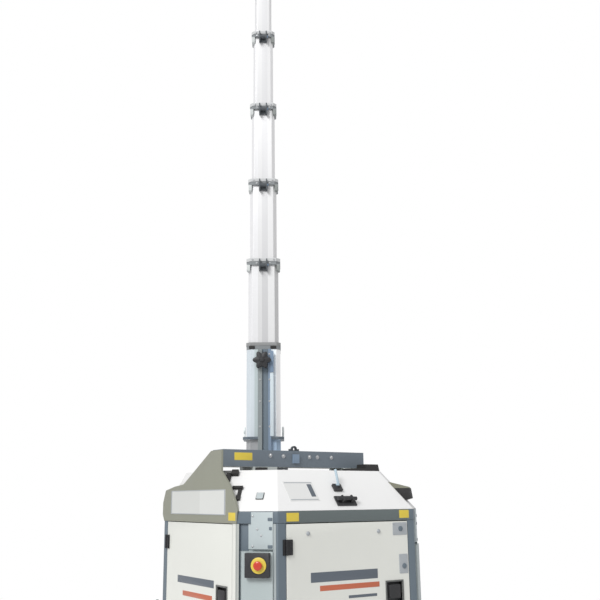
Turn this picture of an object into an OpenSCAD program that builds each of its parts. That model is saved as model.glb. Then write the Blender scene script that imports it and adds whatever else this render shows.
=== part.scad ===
// Mobile light tower, skid-mounted cube type, with a six-section telescopic mast.
// Millimetres, +Z up. Origin on the floor under the middle of the square body.
// Front is -Y, the end with the grey plate is -X.

/* [Body] */
// Width of the square body across its flat faces
body_w = 1180; // [1060:10:1300]
// Leg of the corner chamfers in plan
corner_leg = 150; // [146:2:190]
// Height of the skid base with its floor plate
base_h = 180; // [180:5:230]
// Height of the top rail's upper edge above the floor
rail_top = 1323; // [1240:1:1400]
// Height of the top rail's face
rail_h = 60; // [46:2:80]
// Depth of the posts and of the top rail
post_d = 30; // [22:1:32]
// Width of a post's wing on the flat face
post_wing = 45; // [36:1:50]
// Width of a post's wing on the chamfer at the face's left end
post_wrap_left = 25; // [20:1:30]
// Width of a post's wing on the chamfer at the face's right end
post_wrap_right = 12; // [11:1:14]

/* [Skid base] */
// Thickness of the skid's outer web
web_t = 8; // [6:1:12]
// Thickness of the skid's flanges
flange_t = 8; // [6:1:10]
// Width of the skid's flanges
flange_w = 60; // [40:5:80]
// Thickness of the floor plate
floor_t = 6; // [4:1:8]
// Outer width of a fork pocket
fork_w = 210; // [180:5:230]
// Outer height of a fork pocket
fork_h = 92; // [80:2:92]
// Distance between the centres of the fork pockets
fork_pitch = 520; // [460:10:560]
// Wall of the fork pockets
fork_wall = 6; // [4:1:8]

/* [Stabilisers] */
// Outer width of the square sleeves for the arms
sleeve_w = 64; // [56:1:64]
// Wall of the sleeves
sleeve_wall = 5; // [4:0.5:6]
// Play between arm and sleeve on each side
arm_play = 0.4; // [0.3:0.1:0.8]
// Distance of the stored arm's inner end from the middle of the base
arm_inner = 160; // [140:10:220]
// Outer radius of a jack tube
jack_r = 36; // [32:1:37]
// Wall of a jack tube
jack_wall = 6; // [4:0.5:7]
// Height of a jack tube's top
jack_top = 770; // [600:10:780]
// Radius of a jack's foot plate
foot_r = 45; // [38:1:47]
// Height of the stored foot plate above the floor
foot_lift = 15; // [8:1:25]

/* [Doors] */
// Thickness of a door
door_t = 36; // [28:1:44]
// Sheet thickness of a door
door_skin = 4; // [3:0.5:6]
// Gap around a door
door_gap = 4; // [3:0.5:6]
// Distance of a hinge axis in front of the face
hinge_out = 8; // [7.6:0.1:9]
// Radius of a hinge knuckle
knuckle_r = 7; // [6:0.1:7.2]
// Height of a hinge
hinge_h = 75; // [60:1:90]
// Width of a latch pan
latch_w = 106; // [90:2:120]
// Height of a latch pan
latch_h = 150; // [120:5:180]

/* [Hood] */
// Height of the hood's flat top above the floor
hood_top = 1532; // [1480:2:1590]
// Setback of the flat facets at the top
hood_set = 170; // [140:5:200]
// Setback of the corner facets at the top, square to them
hood_corner_set = 192; // [176:2:220]
// Wall of the hood
hood_wall = 5; // [4:0.5:8]
// Thickness of the end plate over the rail
end_plate_t = 4; // [3:0.5:6]
// Thickness of the end plate's stiffened upper part behind the face
end_plate_in = 8; // [6:1:12]

/* [Lifting beam] */
// Depth of the beam
beam_d = 120; // [100:5:130]
// Height of the beam
beam_h = 90; // [80:1:110]
// Height of the beam's feet on the hood
beam_foot = 20; // [8:1:26]
// Distance of the beam's middle in front of the body's middle
beam_y = -213; // [-230:1:-190]
// Right end of the beam
beam_x1 = 349; // [300:1:360]
// Wall of the beam
beam_wall = 6; // [5:0.5:8]
// Radius of the lifting eye's hole
eye_r = 9; // [7:0.5:10]

/* [Mast] */
// Place of the mast's axis along X
mast_x = -87; // [-100:1:-75]
// Place of the mast's axis along Y
mast_y = 140; // [138:1:160]
// Turn of the mast's front at rest
mast_turn = -32; // [-45:1:0]
// Width of the base section
mast_w = 205; // [202:1:207]
// Step in width from one section to the next
mast_step = 19; // [17:0.5:20]
// Number of sections that slide
mast_sections = 5; // [5:1:5]
// Wall of the sections
mast_wall = 5; // [4:0.5:6]
// Leg of the corner facets as a share of the section's width
mast_facet = 0.12; // [0.11:0.01:0.15]
// Height of the foot flange above the hood's top
mast_foot_up = 209; // [190:1:240]
// Length of the base section above its foot flange
mast_base_len = 571; // [520:1:620]
// Bare length of each section at rest, from collar to collar
mast_rise = 536; // [510:1:560]
// Length of each sliding section
mast_len = 1500; // [1450:10:1550]
// Height of a collar
collar_h = 43; // [34:1:46]
// How far a collar stands out beyond its section
collar_out = 13; // [9:1:15]
// Play between a collar's guide and the section in it
guide_play = 0.4; // [0.3:0.1:0.6]
// Least room between the first sliding section's corners and the round foot tube
spigot_room = 5; // [4.4:0.1:5.1]
// Wall of the round foot tube
spigot_wall = 5; // [4:0.5:5.5]

/* [Lamps] */
// Width of a lamp
lamp_w = 160; // [140:2:164]
// Height of a lamp
lamp_h = 230; // [200:2:236]
// Depth of a lamp with its fins
lamp_d = 76; // [60:2:84]
// Distance from the mast's axis to the first lamp's middle
lamp_x0 = 245; // [240:1:260]
// Distance between two lamps on one side
lamp_pitch = 190; // [186:1:200]

/* [Hidden] */
$fn = 64;
eps = 0.01;
half = body_w / 2;
face_half = half - corner_leg;
corner_d = (2 * half - corner_leg) / sqrt(2);
corner_half = corner_leg / sqrt(2);
rail_bottom = rail_top - rail_h;
web_top = base_h - floor_t;
sleeve_z = web_top - flange_t - sleeve_w;
arm_w = sleeve_w - 2 * sleeve_wall - 2 * arm_play;
arm_z = sleeve_z + sleeve_w / 2;
fork_z = flange_t;
// doors
door_open_half = face_half - post_wing;
door_half = door_open_half - door_gap;
door_z0 = base_h + 3 * door_gap;
door_z1 = rail_bottom - door_gap;
hinge_x = -(door_open_half - 2);
hinge_y = -(half + hinge_out);
hinge_zs = [door_z0 + 130, door_z1 - 111];
pin_r = 3;
latch_x = 287;
latch_z = rail_top - 449;
// corner covers
cover_back = 18;
cover_out = 10;
cover_x1 = corner_half - post_wrap_left - 1;
upper_cover = [cover_x1 - 112, cover_x1, rail_top - 182, rail_top - 4];
lower_cover = [-corner_half + post_wrap_right + 15, cover_x1, base_h, rail_top - 193];
stop_x = 7;
stop_z = rail_top - 256;
stop_size = [124, 30, 116];
socket_z = rail_top - 393;
jack_gap = 8;
jack_out = cover_out + jack_gap + jack_r;
leg_r = jack_r - jack_wall - 0.4;
leg_top = jack_top - 60;
// round foot tube, in whole millimetres, and the engine in front of it
function corner_reach(w) = norm([0.5, 0.5 - mast_facet]) * w;
spigot_r = ceil(corner_reach(section_w(1)) + spigot_room + spigot_wall);
engine_gap = 13;
engine_x = 330;
engine_y = [-480, mast_y - spigot_r - engine_gap];
engine_top = 760;
// mast
mast_foot = hood_top + mast_foot_up;
mast_base_top = mast_foot + mast_base_len;
spigot_bottom = 552;
mast_flange_t = 14;
mast_flange_w = mast_w + 41;
mast_seat = hood_top + 48;
bearing_play = 0.4;
head_z = mast_base_top + mast_sections * mast_rise;
bar_h = 50;
bar_z = head_z + 50;
lamp_drop = 130;
pivot_z = bar_z - lamp_drop;
yoke_t = 5;
yoke_gap = 5;
yoke_pin_r = 6;
lamp_xs = [-lamp_x0 - lamp_pitch, -lamp_x0, lamp_x0, lamp_x0 + lamp_pitch];

// Corner points of the body's outline, moved inwards by inset
function oct_points(inset) =
    let (h = half - inset, m = h - (corner_leg - inset * (2 - sqrt(2))))
    [[h, -m], [h, m], [m, h], [-m, h], [-h, m], [-h, -m], [-m, -h], [m, -h]];

module oct_plate(inset, z0, z1)
    translate([0, 0, z0]) linear_extrude(z1 - z0) polygon(oct_points(inset));

// Side 0 is the front, 1 the right, 2 the back, 3 the left
module on_face(i) rotate(90 * i) children();

// Corner 0 is between front and left. Its chamfer is the plane y = 0, outwards is -Y
module on_corner(i) rotate(90 * i - 45) translate([0, -corner_d, 0]) children();

module box(x, y, z) translate([x[0], y[0], z[0]]) cube([x[1] - x[0], y[1] - y[0], z[1] - z[0]]);

// Octagonal channel frame, open to the inside, with holes for the fork pockets and sleeves
module skid_frame() color("slategray") difference() {
    oct_plate(0, 0, web_top);
    oct_plate(web_t, flange_t, web_top - flange_t);
    oct_plate(flange_w, -1, web_top + 1);
    for (s = [-1, 1]) translate([s * fork_pitch / 2 - fork_w / 2, -body_w, fork_z])
        cube([fork_w, 2 * body_w, fork_h]);
    for (i = [0:3]) on_corner(i)
        box([-sleeve_w / 2, sleeve_w / 2], [-1, web_t + 1], [sleeve_z, sleeve_z + sleeve_w]);
}

module fork_pocket() difference() {
    box([-fork_w / 2, fork_w / 2], [-half, half], [fork_z, fork_z + fork_h]);
    box([-fork_w / 2 + fork_wall, fork_w / 2 - fork_wall], [-half - 1, half + 1],
        [fork_z + fork_wall, fork_z + fork_h - fork_wall]);
}

module sleeve() difference() {
    box([-sleeve_w / 2, sleeve_w / 2], [0, corner_d - arm_inner], [sleeve_z, sleeve_z + sleeve_w]);
    box([-sleeve_w / 2 + sleeve_wall, sleeve_w / 2 - sleeve_wall], [-1, corner_d - arm_inner + 1],
        [sleeve_z + sleeve_wall, sleeve_z + sleeve_w - sleeve_wall]);
}

module skid_tubes() color("dimgray") {
    for (s = [-1, 1]) translate([s * fork_pitch / 2, 0, 0]) fork_pocket();
    for (i = [0:3]) on_corner(i) sleeve();
}

module floor_plate() color("dimgray") oct_plate(0, web_top, base_h);

// Bent corner post beside a door opening: one wing on the face, one on the chamfer
module post(wrap) {
    w = wrap / sqrt(2);
    d = post_d / sqrt(2);
    linear_extrude(rail_bottom - base_h) polygon([
        [-door_open_half, -half], [-face_half, -half], [-face_half - w, -half + w],
        [-face_half - w + d, -half + w + d], [-face_half + post_d * tan(22.5), -half + post_d],
        [-door_open_half, -half + post_d]]);
}

module corner_posts() color("lightslategray") translate([0, 0, base_h])
    for (i = [0:3]) on_face(i) {
        post(post_wrap_left);
        mirror([1, 0, 0]) post(post_wrap_right);
    }

module top_frame() color("slategray") difference() {
    oct_plate(0, rail_bottom, rail_top);
    oct_plate(post_d, rail_bottom - 1, rail_top + 1);
}

module corner_cover() {
    x0 = -corner_half + post_wrap_right;
    x1 = corner_half - post_wrap_left;
    box([x0, x1], [cover_back, cover_back + 4], [base_h, rail_bottom]);
    box([upper_cover[0], upper_cover[1]], [-3, 0], [upper_cover[2], upper_cover[3]]);
    box([upper_cover[0] - 16, upper_cover[0] + 1], [8, cover_back + eps], [upper_cover[2], rail_bottom]);
    box([upper_cover[0], upper_cover[1]], [-eps, cover_back + eps], [upper_cover[2], rail_bottom]);
    box([lower_cover[0], lower_cover[1]], [-cover_out, cover_back + eps],
        [lower_cover[2], lower_cover[3]]);
}

module corner_covers() color("lightsteelblue") for (i = [0:3]) on_corner(i) corner_cover();

// Black box of the emergency stop on the corner between front and left
module stop_box() color("black") on_corner(0) translate([stop_x, -cover_out, stop_z]) {
    box([-stop_size[0] / 2, stop_size[0] / 2], [-stop_size[1], 0],
        [-stop_size[2] / 2, stop_size[2] / 2]);
    translate([0, -stop_size[1] + 1, 0]) rotate([90, 0, 0]) cylinder(r = 40, h = 5);
}

module stop_button() color("red") on_corner(0)
    translate([stop_x, -cover_out - stop_size[1] - 4, stop_z]) rotate([90, 0, 0]) {
        cylinder(r = 13, h = 10);
        translate([0, 0, 10 - eps]) cylinder(r1 = 20, r2 = 22, h = 6);
        translate([0, 0, 16 - 2 * eps]) cylinder(r1 = 22, r2 = 17, h = 6);
    }

// Power outlets with hinged covers on the corner between back and right
module socket_box() color("dimgray") on_corner(2) translate([0, -cover_out, socket_z]) {
    box([-70, 70], [-34, 0], [0, 130]);
    for (s = [-1, 1]) translate([s * 34, -34 + eps, 65]) rotate([90, 0, 0]) cylinder(r = 28, h = 14);
}

// Hinge axis in the frame of a face
module at_hinges() for (z = hinge_zs) translate([hinge_x, hinge_y, z]) children();

module hinge_leaf() {
    third = hinge_h / 3;
    box([-20, -knuckle_r], [hinge_out - 5, hinge_out], [-hinge_h / 2, hinge_h / 2]);
    for (z = [-hinge_h / 2, hinge_h / 2 - third]) translate([0, 0, z]) {
        cylinder(r = knuckle_r, h = third);
        box([-knuckle_r - 1, 0], [hinge_out - 5, hinge_out - 1.2], [0, third]);
    }
    translate([0, 0, -hinge_h / 2]) cylinder(r = pin_r, h = hinge_h);
}

module hinge_leaves() color("black") for (i = [0:3]) on_face(i) at_hinges() hinge_leaf();

module door_knuckle() {
    third = hinge_h / 3;
    difference() {
        union() {
            box([knuckle_r, 34], [hinge_out - 5, hinge_out + eps], [-hinge_h / 2, hinge_h / 2]);
            translate([0, 0, -third / 2 + 0.5]) {
                cylinder(r = knuckle_r, h = third - 1);
                box([0, knuckle_r + 1], [hinge_out - 5, hinge_out - 1.2], [0, third - 1]);
            }
        }
        translate([0, 0, -hinge_h]) cylinder(r = pin_r + 0.4, h = 2 * hinge_h);
    }
}

// Recessed pan with a paddle handle
module latch() translate([latch_x, -half, latch_z]) {
    difference() {
        box([-latch_w / 2 - 8, latch_w / 2 + 8], [-4, eps], [-latch_h / 2 - 8, latch_h / 2 + 8]);
        box([-latch_w / 2, latch_w / 2], [-6, 1], [-latch_h / 2, latch_h / 2]);
    }
    difference() {
        box([-latch_w / 2 - 3, latch_w / 2 + 3], [-eps, 26], [-latch_h / 2 - 3, latch_h / 2 + 3]);
        box([-latch_w / 2, latch_w / 2], [-6, 23], [-latch_h / 2, latch_h / 2]);
    }
    box([-42, 42], [2, 23 + eps], [-10, latch_h / 2 - 14]);
}

// Louvre blade pressed out of the sheet, open downwards
module louvre(w) translate([-w / 2, -half, 0]) rotate([90, 0, 90])
    linear_extrude(w) polygon([[eps, 34], [eps, 30], [-9, 4], [-9, 0], [-7, 0], [eps + 1, 26]]);

module door(louvres) {
    z = [door_z0, door_z1];
    rows = floor((door_z1 - latch_z - latch_h / 2 - 60) / 44);
    difference() {
        box([-door_half, door_half], [-half, -half + door_t], z);
        box([-door_half + door_skin, door_half - door_skin], [-half + door_skin, -half + door_t + 1],
            [z[0] + door_skin, z[1] - door_skin]);
        translate([latch_x, -half, latch_z])
            box([-latch_w / 2 - 3, latch_w / 2 + 3], [-1, 30], [-latch_h / 2 - 3, latch_h / 2 + 3]);
    }
    latch();
    at_hinges() door_knuckle();
    if (louvres) for (x = [-170, 170], k = [0:rows - 1])
        translate([x, 0, latch_z + latch_h / 2 + 40 + 44 * k]) louvre(260);
}

module door_front() color("gainsboro") on_face(0) door(false);
module door_right() color("gainsboro") on_face(1) door(true);
module door_back() color("gainsboro") on_face(2) door(true);
module door_left() color("gainsboro") on_face(3) door(false);

// Hood outline at a share f of its height, moved inwards by t. The left side stands upright
function hood_outline(f, t) =
    let (h = half - hood_set * f - t, l = half - end_plate_in - t,
         d = sqrt(2) * (corner_d - hood_corner_set * f - t))
    [[h, h - d], [h, d - h], [d - h, h], [h - d, h], [-l, d - l], [-l, l - d], [h - d, -h],
     [d - h, -h]];

module hood_form(z0, z1, t) {
    f0 = (z0 - rail_top) / (hood_top - rail_top);
    f1 = (z1 - rail_top) / (hood_top - rail_top);
    polyhedron(
        points = concat([for (p = hood_outline(f0, t)) [p[0], p[1], z0]],
                        [for (p = hood_outline(f1, t)) [p[0], p[1], z1]]),
        faces = concat([[0, 1, 2, 3, 4, 5, 6, 7], [15, 14, 13, 12, 11, 10, 9, 8]],
                       [for (i = [0:7]) [i, i + 8, (i + 1) % 8 + 8, (i + 1) % 8]]));
}

module hood() color("white") difference() {
    hood_form(rail_top, hood_top, 0);
    hood_form(rail_top - 1, hood_top - hood_wall, hood_wall);
    translate([mast_x, mast_y, hood_top - 50]) cylinder(r = spigot_r + 22, h = 100);
}

// Outline of the grey end plate in Y and Z
beam_top = hood_top + beam_foot + beam_h;
end_outline = [[-face_half, rail_bottom], [face_half, rail_bottom], [face_half + 22, rail_top - 23],
    [face_half + 20, rail_top + 44], [face_half - 14, rail_top + 113], [300, rail_top + 134],
    [185, rail_top + 144], [beam_y + beam_d / 2 + 45, beam_top - 26], [beam_y + beam_d / 2, beam_top - 4],
    [beam_y - beam_d / 2, beam_top - 4], [beam_y - beam_d / 2, hood_top - 4],
    [beam_y - beam_d / 2 - 82, hood_top - 70], [-face_half + 20, rail_top + 57],
    [-face_half - 10, rail_top + 2]];

module end_sheet(x0, x1) translate([x0, 0, 0]) rotate([90, 0, 90])
    linear_extrude(x1 - x0) polygon(end_outline);

module end_plate() color("darkgray") {
    end_sheet(-half - end_plate_t, -half);
    intersection() {
        end_sheet(-half - eps, -half + end_plate_in);
        box([-half - 1, 0], [-body_w, body_w], [rail_top, 2 * rail_top]);
    }
}

// Blank plates: the white one on the end plate and the one on the hood's front facet
module blank_plates() color("whitesmoke") {
    box([-half - end_plate_t - 2, -half - end_plate_t], [-325, 340], [rail_top - 20, rail_top + 110]);
    on_front_facet(-249, 0.465) box([-91, 91], [-63, 63], [0.02, 2]);
}

module lifting_beam() color("slategray") {
    x = [-half + end_plate_in, beam_x1];
    y = [beam_y - beam_d / 2, beam_y + beam_d / 2];
    z0 = hood_top + beam_foot;
    difference() {
        box(x, y, [z0, z0 + beam_h]);
        box([x[0] - 1, x[1] - beam_wall], [y[0] + beam_wall, y[1] - beam_wall],
            [z0 + beam_wall, z0 + beam_h - beam_wall]);
    }
    for (fx = [-400, 200]) box([fx, fx + 140], [y[0] - 20, y[1] + 20], [hood_top, z0 + eps]);
    box([-148, -109], [y[0] - 12, y[0] + eps], [z0 + 22, z0 + 71]);
    translate([-100, beam_y + 8, z0 + beam_h]) rotate([90, 0, 0]) difference() {
        union() {
            translate([-31, -eps, 0]) cube([62, 14, 16]);
            translate([0, 14, 0]) cylinder(r = 17, h = 16);
        }
        translate([0, 14, -1]) cylinder(r = eye_r, h = 18);
    }
}

// Slopes of the hood's facets, and frames on them: Y runs up the facet, Z points outwards
facet_tilt = atan2(hood_top - rail_top, hood_set);
corner_tilt = atan2(hood_top - rail_top, hood_corner_set);
module on_front_facet(x, share) translate([x, -half + hood_set * share,
    rail_top + (hood_top - rail_top) * share]) rotate([facet_tilt, 0, 0]) children();
module on_corner_facet(i, x, share) on_corner(i) translate([x, hood_corner_set * share,
    rail_top + (hood_top - rail_top) * share]) rotate([corner_tilt, 0, 0]) children();

// Hand lever of the mast's lowering valve with its base on the front facet
module mast_lever() color("dimgray") {
    on_front_facet(2, 0.21) {
        box([-62, 62], [-30, 30], [0, 8]);
        for (s = [-1, 1]) box([s * 30 - 5, s * 30 + 5], [-16, 16], [7, 34]);
        translate([-60, 0, 24]) rotate([0, 90, 0]) cylinder(r = 10, h = 120);
    }
    on_front_facet(-12, 0.53) {
        box([-26, 26], [-20, 22], [0, 14]);
        translate([6, 0, 13]) rotate([-68, 0, 0]) cylinder(r = 7, h = 98);
    }
}

// Middle of the outlet cover and of the rubber pad in front of the lifting beam
outlet_y = beam_y - beam_d / 2 - 90;

// Strap latch, stops and pads of rubber, the black filler cover and the low outlet cover
module strap_latch() {
    box([-11, 11], [-50, -22], [0, 14]);
    box([-9, 9], [-40, 34], [0, 8]);
    translate([-14, 34, 9]) rotate([0, 90, 0]) cylinder(r = 9, h = 54, center = true);
}

// Profile of the filler cover over a corner facet: setback and height
filler_w = 150;
function on_slope(z) = hood_corner_set * (z - rail_top) / (hood_top - rail_top);
module filler_cover() translate([-filler_w / 2, 0, 0]) rotate([90, 0, 90]) linear_extrude(filler_w)
    polygon([[on_slope(rail_top + 148), rail_top + 148], [30, rail_top + 121], [20, rail_top + 112],
        [11, rail_top + 57], [on_slope(rail_top + 48), rail_top + 48]]);

module rubber_fittings() color("black") {
    on_corner_facet(0, -116, 0.42) strap_latch();
    on_corner_facet(0, -196, 0.8) box([-11, 11], [-26, 26], [0, 16]);
    on_corner_facet(0, -164, 0.93) box([-18, 18], [-24, 6], [0, 22]);
    on_corner_facet(0, -3, 0.35) box([-20, 20], [-22, 22], [0, 4]);
    on_corner(1) filler_cover();
    for (c = [[163, 191, 14], [262, 92, 38]]) translate([c[0], outlet_y, hood_top]) rotate([90, 0, 90])
        linear_extrude(c[1]) polygon([[-50, 0], [50, 0], [50 - c[2] / 4, c[2]], [c[2] / 3 - 50, c[2]]]);
    box([-400, -345], [beam_y - beam_d / 2 - 60, beam_y - beam_d / 2 - 24], [hood_top, hood_top + 15]);
}

module mast_bearings() color("dimgray") translate([mast_x, mast_y, 0]) {
    difference() {
        union() {
            translate([0, 0, hood_top]) cylinder(r = spigot_r + 45, h = 12);
            translate([0, 0, hood_top - 54]) cylinder(r = spigot_r + 18, h = 96);
        }
        translate([0, 0, hood_top - 60]) cylinder(r = spigot_r + bearing_play, h = 140);
    }
    translate([0, 0, base_h]) {
        cylinder(r = 120, h = 12);
        cylinder(r = 70, h = spigot_bottom - 0.3 - base_h);
        translate([0, 0, spigot_bottom - 0.3 - base_h - 14]) cylinder(r = spigot_r + 6, h = 14);
    }
}

module engine_block() color("darkslategray") box([-engine_x, engine_x], engine_y, [base_h, engine_top]);

module at_mast() translate([mast_x, mast_y, 0]) rotate(mast_turn) children();

function turn90(p, q) = q == 0 ? p : turn90([-p[1], p[0]], q - 1);

// Mast section: a square with flat corner facets
module mast_outline(w) polygon([for (q = [0:3]) for (s = [-1, 1])
    turn90([s * (0.5 - mast_facet) * w, -w / 2], q)]);
function section_w(k) = mast_w - k * mast_step;
function section_top(k) = mast_base_top + k * mast_rise;

module mast_tube(k, z0, z1) translate([0, 0, z0]) linear_extrude(z1 - z0) difference() {
    mast_outline(section_w(k));
    mast_outline(section_w(k) - 2 * mast_wall);
}

collar_lip = 6;
// Stepped guide collar with a bracket at each front corner and the hoist rope's pulley block
module collar(k, out, pulley) translate([0, 0, section_top(k)]) {
    w = section_w(k);
    difference() {
        union() {
            translate([0, 0, -collar_h / 2]) linear_extrude(collar_h / 2) mast_outline(w + 2 * out);
            translate([0, 0, -collar_h]) linear_extrude(collar_h / 2 + eps) mast_outline(w + 2 * out - 4);
            if (pulley) for (s = [-1, 1]) box([s * w / 2 - 10, s * w / 2 + 10],
                [-w / 2 - out + 4, -w / 2 + 28], [-80, 3 - collar_h]);
        }
        translate([0, 0, -81]) linear_extrude(81 - collar_lip) mast_outline(w);
        translate([0, 0, -collar_h]) linear_extrude(collar_h + 1)
            mast_outline(section_w(k + 1) + 2 * guide_play);
    }
    if (pulley) translate([0, -w / 2, 0]) {
        for (s = [-1, 1]) box([s * 22 - 4, s * 22 + 4], [-34, 0], [-82, -10]);
        box([-20, 20], [-10, 0], [-80, 3 - collar_h]);
        translate([-18 - eps, -21, -48]) rotate([0, 90, 0]) cylinder(r = 13, h = 36 + 2 * eps);
    }
}

// Square base section on its round foot tube, with a collar plate between them and a flange
module mast_base() color("lightgray") at_mast() {
    difference() {
        union() {
            translate([0, 0, spigot_bottom]) cylinder(r = spigot_r, h = mast_seat - spigot_bottom + eps);
            translate([0, 0, mast_seat]) cylinder(r = spigot_r + 6, h = 12);
        }
        translate([0, 0, spigot_bottom - 1])
            cylinder(r = spigot_r - spigot_wall, h = mast_seat + 1 - spigot_bottom);
        translate([0, 0, mast_seat - 1]) linear_extrude(20) mast_outline(mast_w - 2 * mast_wall);
    }
    mast_tube(0, mast_seat + 12 - eps, section_top(0) - collar_lip);
    translate([0, 0, mast_foot - mast_flange_t]) linear_extrude(mast_flange_t) difference() {
        mast_outline(mast_flange_w);
        mast_outline(mast_w - 1);
        translate([duct_x[0], -mast_w]) square([duct_x[1] - duct_x[0], mast_w / 2 + 1]);
    }
}

module mast_base_collar() color("dimgray") at_mast() collar(0, 3, false);

// Cable duct up the front, star knob and two eye handles of the turning base section
duct_x = [-33, 47];
duct_d = 24;
module mast_fittings() color("dimgray") at_mast() {
    translate([0, -mast_w / 2, 0]) difference() {
        box(duct_x, [-duct_d, 0], [mast_seat + 20, section_top(0) - collar_h - 2]);
        box([-8, 29], [-duct_d - 1, -10], [mast_seat + 19, section_top(0) - collar_h - 1]);
    }
    translate([-8, -mast_w / 2 - duct_d, section_top(0) - 116]) rotate([90, 0, 0]) {
        translate([0, 0, -15]) cylinder(r = 12, h = 31);
        translate([0, 0, 14]) for (a = [0:60:300]) rotate(a) translate([32, 0, 0]) cylinder(r = 14, h = 18);
        translate([0, 0, 14]) cylinder(r = 34, h = 18);
    }
    for (s = [-1, 1]) translate([s * (mast_flange_w / 2 - 6), 0, mast_foot]) {
        cylinder(r = 6, h = 30);
        translate([0, 0, 46]) rotate([0, 90, 0]) rotate_extrude() translate([16, 0]) circle(r = 6);
    }
}

module mast_section(k) at_mast() mast_tube(k, section_top(k) - mast_len, section_top(k) - collar_lip);

module mast_1() color("whitesmoke") mast_section(1);
module mast_2() color("whitesmoke") mast_section(2);
module mast_3() color("whitesmoke") mast_section(3);
module mast_4() color("whitesmoke") mast_section(4);
module mast_5() color("whitesmoke") mast_section(5);
module mast_1_collar() color("dimgray") at_mast() collar(1, collar_out, true);
module mast_2_collar() color("dimgray") at_mast() collar(2, collar_out, true);
module mast_3_collar() color("dimgray") at_mast() collar(3, collar_out, true);
module mast_4_collar() color("dimgray") at_mast() collar(4, collar_out, true);

// Head plate, post, cross bar and a U bracket for each lamp
module lamp_frame() color("lightgray") at_mast() {
    translate([0, 0, head_z - collar_lip]) linear_extrude(12) mast_outline(section_w(5) + 16);
    box([-25, 25], [-25, 25], [head_z, bar_z + eps]);
    box([lamp_xs[0] - 90, lamp_xs[3] + 90], [-25, 25], [bar_z, bar_z + bar_h]);
    for (x = lamp_xs) translate([x, 0, 0]) {
        outer = lamp_w / 2 + yoke_gap + yoke_t;
        box([-outer, outer], [-15, 15], [bar_z - yoke_t, bar_z + eps]);
        for (s = [-1, 1]) difference() {
            translate([s * (outer - yoke_t / 2) - yoke_t / 2, -15, pivot_z - 18])
                cube([yoke_t, 30, bar_z - pivot_z + 18]);
            translate([s * (outer - yoke_t / 2), 0, pivot_z]) rotate([0, 90, 0])
                cylinder(r = yoke_pin_r + 0.1, h = yoke_t + 2, center = true);
        }
    }
}

// Flood lamp: a framed front, a finned back and a pin at each side
module lamp(i) at_mast() translate([lamp_xs[i], 0, pivot_z]) {
    w = lamp_w;
    h = lamp_h;
    d = lamp_d;
    difference() {
        box([-w / 2, w / 2], [-d / 2, -d / 2 + 30], [-h / 2, h / 2]);
        box([-w / 2 + 10, w / 2 - 10], [-d / 2 - 1, -d / 2 + 5], [-h / 2 + 10, h / 2 - 10]);
    }
    box([-w / 2 + 6, w / 2 - 6], [-d / 2 + 30 - eps, -d / 2 + 38], [-h / 2 + 6, h / 2 - 6]);
    for (k = [0:8]) translate([-w / 2 + 10 + k * (w - 24) / 8, -d / 2 + 38 - eps, -h / 2 + 10])
        cube([4, d - 38, h - 20]);
    for (s = [-1, 1]) translate([s * (w / 2 + yoke_gap), 0, 0]) {
        rotate([0, 90, 0]) cylinder(r = yoke_pin_r, h = 2 * yoke_gap, center = true);
        translate([-s * (yoke_gap + 4), 0, 0]) cube([8, 24, 24], center = true);
    }
}

module lamp_1() color("silver") lamp(0);
module lamp_2() color("silver") lamp(1);
module lamp_3() color("silver") lamp(2);
module lamp_4() color("silver") lamp(3);

// Stabiliser: square arm, jack tube and folded crank, in the frame of a corner
module arm() {
    difference() {
        union() {
            box([-arm_w / 2, arm_w / 2], [-jack_out + jack_r - 4, corner_d - arm_inner - 10],
                [arm_z - arm_w / 2, arm_z + arm_w / 2]);
            translate([0, -jack_out, 60]) cylinder(r = jack_r, h = jack_top - 60);
        }
        translate([0, -jack_out, 50]) cylinder(r = jack_r - jack_wall, h = jack_top - 60);
    }
    translate([0, -jack_out, jack_top - 1]) cylinder(r = 14, h = 20);
    translate([0, -jack_out, jack_top + 12]) box([-12, 60], [-6, 6], [0, 12]);
    translate([52, -jack_out, jack_top + 20]) cylinder(r = 8, h = 26);
}

module leg() translate([0, -jack_out, 0]) {
    translate([0, 0, foot_lift]) cylinder(r = foot_r, h = 12);
    translate([0, 0, foot_lift + 11]) cylinder(r = leg_r, h = leg_top - foot_lift - 11);
}

module arm_front_left() color("lightslategray") on_corner(0) arm();
module arm_front_right() color("lightslategray") on_corner(1) arm();
module arm_back_right() color("lightslategray") on_corner(2) arm();
module arm_back_left() color("lightslategray") on_corner(3) arm();
module leg_front_left() color("silver") on_corner(0) leg();
module leg_front_right() color("silver") on_corner(1) leg();
module leg_back_right() color("silver") on_corner(2) leg();
module leg_back_left() color("silver") on_corner(3) leg();

skid_frame();
skid_tubes();
floor_plate();
corner_posts();
top_frame();
corner_covers();
stop_box();
stop_button();
socket_box();
hinge_leaves();
hood();
end_plate();
blank_plates();
lifting_beam();
mast_lever();
rubber_fittings();
mast_bearings();
engine_block();
door_front();
door_right();
door_back();
door_left();
arm_front_left();
arm_front_right();
arm_back_right();
arm_back_left();
leg_front_left();
leg_front_right();
leg_back_right();
leg_back_left();
mast_base();
mast_base_collar();
mast_fittings();
mast_1();
mast_1_collar();
mast_2();
mast_2_collar();
mast_3();
mast_3_collar();
mast_4();
mast_4_collar();
mast_5();
lamp_frame();
lamp_1();
lamp_2();
lamp_3();
lamp_4();
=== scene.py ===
"""Looks of the mobile light tower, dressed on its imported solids.

Metres, +Z up. The front door looks along -Y and the end with the grey plate looks along -X.
"""
import math

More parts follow.
